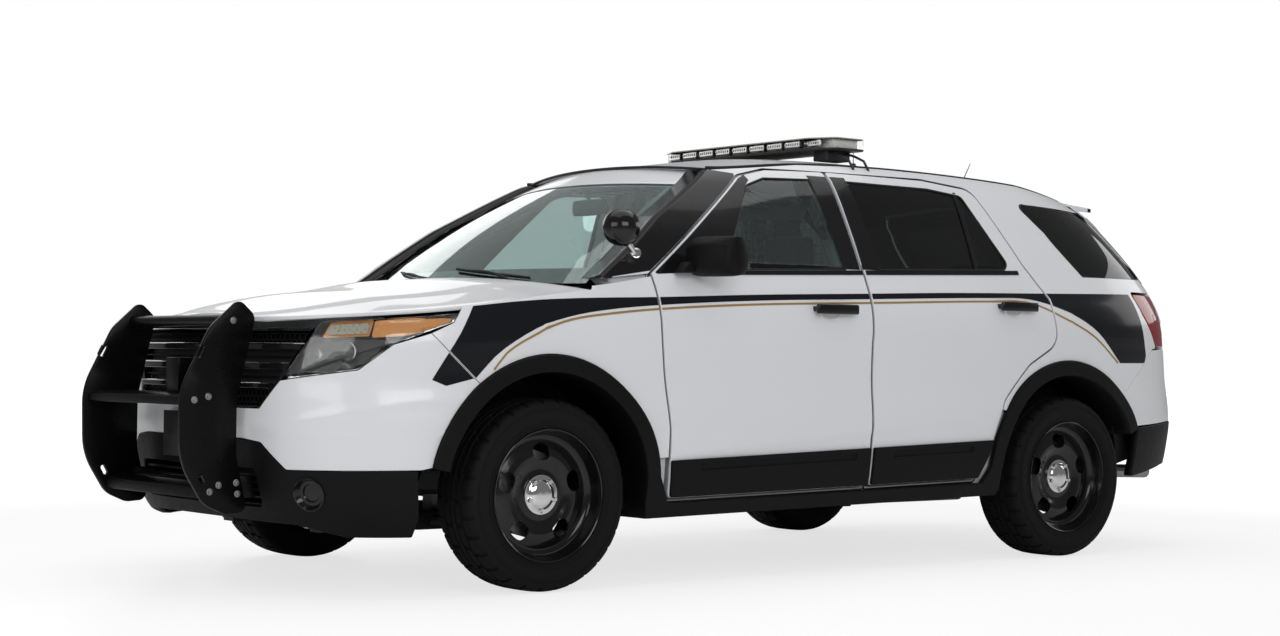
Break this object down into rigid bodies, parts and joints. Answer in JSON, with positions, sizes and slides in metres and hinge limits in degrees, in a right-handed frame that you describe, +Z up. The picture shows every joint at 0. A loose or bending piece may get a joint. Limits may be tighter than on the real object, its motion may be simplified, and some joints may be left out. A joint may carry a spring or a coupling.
{
  "type": "police patrol car",
  "caption": "White and black patrol utility car with hinged doors, hood and liftgate, steered front wheels, push bumper, roof light bar and pillar spotlight.",
  "frame": {"origin": "on the ground under the middle of the overall box", "axes": "+Z up, the nose faces -Y, +X is the driver's side"},
  "size_m": [2.27, 5.2601, 1.832],
  "materials": {
    "white_paint": "gloss white body paint",
    "black_plastic": "textured black moulding",
    "gloss_black": "gloss black coat",
    "dark_glass": "tinted window glass",
    "grey_metal": "bare cast and machined metal",
    "dark_fabric": "dark seat and trim cloth",
    "red_lens": "red lamp lens",
    "clear_lens": "clear lamp lens",
    "rubber": "black tyre rubber"
  },
  "bodies": {
    "body": {"body_side_left": "white_paint", "body_side_right": "white_paint", "cowl": "black_plastic", "dashboard": "dark_fabric", "engine": "grey_metal", "exhaust": "grey_metal", "fender_left": "white_paint", "fender_right": "white_paint", "floor": "black_plastic", "front_bumper": "white_paint", "front_seat_left": "dark_fabric", "front_seat_right": "dark_fabric", "front_suspension": "black_plastic", "fuel_tank": "black_plastic", "grille": "gloss_black", "headlamp_left": "clear_lens", "headlamp_right": "clear_lens", "light_bar": "clear_lens", "lower_bumper": "black_plastic", "partition": "gloss_black", "push_bumper": "gloss_black", "quarter_glass_left": "dark_glass", "quarter_glass_right": "dark_glass", "rear_bench": "dark_fabric", "rear_bumper": "white_paint", "rear_lower_bumper": "black_plastic", "rear_suspension": "black_plastic", "roof": "white_paint", "side_cladding_left": "black_plastic", "side_cladding_right": "black_plastic", "spotlight": "gloss_black", "tail_lamp_left": "red_lens", "tail_lamp_right": "red_lens", "windscreen": "dark_glass"},
    "hood_lid": {"hood": "white_paint"},
    "liftgate_lid": {"liftgate": "white_paint", "rear_glass": "dark_glass"},
    "front_door_left_leaf": {"front_door_left": "white_paint", "front_door_left_glass": "dark_glass", "mirror_left": "black_plastic"},
    "rear_door_left_leaf": {"rear_door_left": "white_paint", "rear_door_left_glass": "dark_glass"},
    "steering_left": {"knuckle_left": "grey_metal"},
    "front_roller_left": {"front_wheel_left": "gloss_black", "front_tyre_left": "rubber"},
    "rear_roller_left": {"rear_wheel_left": "gloss_black", "rear_tyre_left": "rubber"},
    "front_door_right_leaf": {"front_door_right": "white_paint", "front_door_right_glass": "dark_glass", "mirror_right": "black_plastic"},
    "rear_door_right_leaf": {"rear_door_right": "white_paint", "rear_door_right_glass": "dark_glass"},
    "steering_right": {"knuckle_right": "grey_metal"},
    "front_roller_right": {"front_wheel_right": "gloss_black", "front_tyre_right": "rubber"},
    "rear_roller_right": {"rear_wheel_right": "gloss_black", "rear_tyre_right": "rubber"}
  },
  "joints": [
    {"name": "front_door_left_hinge", "type": "hinge", "parent": "body", "child": "front_door_left_leaf", "pos_m": [0.97, -0.814, 0.62], "axis": [0, 0, -1], "range_deg": [0, 67]},
    {"name": "rear_door_left_hinge", "type": "hinge", "parent": "body", "child": "rear_door_left_leaf", "pos_m": [0.97, 0.277, 0.62], "axis": [0, 0, -1], "range_deg": [0, 67]},
    {"name": "front_door_right_hinge", "type": "hinge", "parent": "body", "child": "front_door_right_leaf", "pos_m": [-0.97, -0.814, 0.62], "axis": [0, 0, 1], "range_deg": [0, 67]},
    {"name": "rear_door_right_hinge", "type": "hinge", "parent": "body", "child": "rear_door_right_leaf", "pos_m": [-0.97, 0.277, 0.62], "axis": [0, 0, 1], "range_deg": [0, 67]},
    {"name": "hood_hinge", "type": "hinge", "parent": "body", "child": "hood_lid", "pos_m": [0, -1.209, 1.122], "axis": [-1, 0, 0], "range_deg": [0, 48]},
    {"name": "liftgate_hinge", "type": "hinge", "parent": "body", "child": "liftgate_lid", "pos_m": [0, 1.876, 1.668], "axis": [1, 0, 0], "range_deg": [0, 80]},
    {"name": "steer_left", "type": "hinge", "parent": "body", "child": "steering_left", "pos_m": [0.791, -1.414, 0.357], "axis": [0, 0, 1], "range_deg": [-33, 33]},
    {"name": "steer_right", "type": "hinge", "parent": "body", "child": "steering_right", "pos_m": [-0.791, -1.414, 0.357], "axis": [0, 0, 1], "range_deg": [-33, 33]},
    {"name": "front_wheel_left_spin", "type": "hinge", "parent": "steering_left", "child": "front_roller_left", "pos_m": [0.851, -1.414, 0.357], "axis": [1, 0, 0], "continuous": true},
    {"name": "rear_wheel_left_spin", "type": "hinge", "parent": "body", "child": "rear_roller_left", "pos_m": [0.851, 1.449, 0.357], "axis": [1, 0, 0], "continuous": true},
    {"name": "front_wheel_right_spin", "type": "hinge", "parent": "steering_right", "child": "front_roller_right", "pos_m": [-0.851, -1.414, 0.357], "axis": [1, 0, 0], "continuous": true},
    {"name": "rear_wheel_right_spin", "type": "hinge", "parent": "body", "child": "rear_roller_right", "pos_m": [-0.851, 1.449, 0.357], "axis": [1, 0, 0], "continuous": true}
  ],
  "couplings": [
    {"joint": "steer_right", "follows": "steer_left", "ratio": 1}
  ]
}
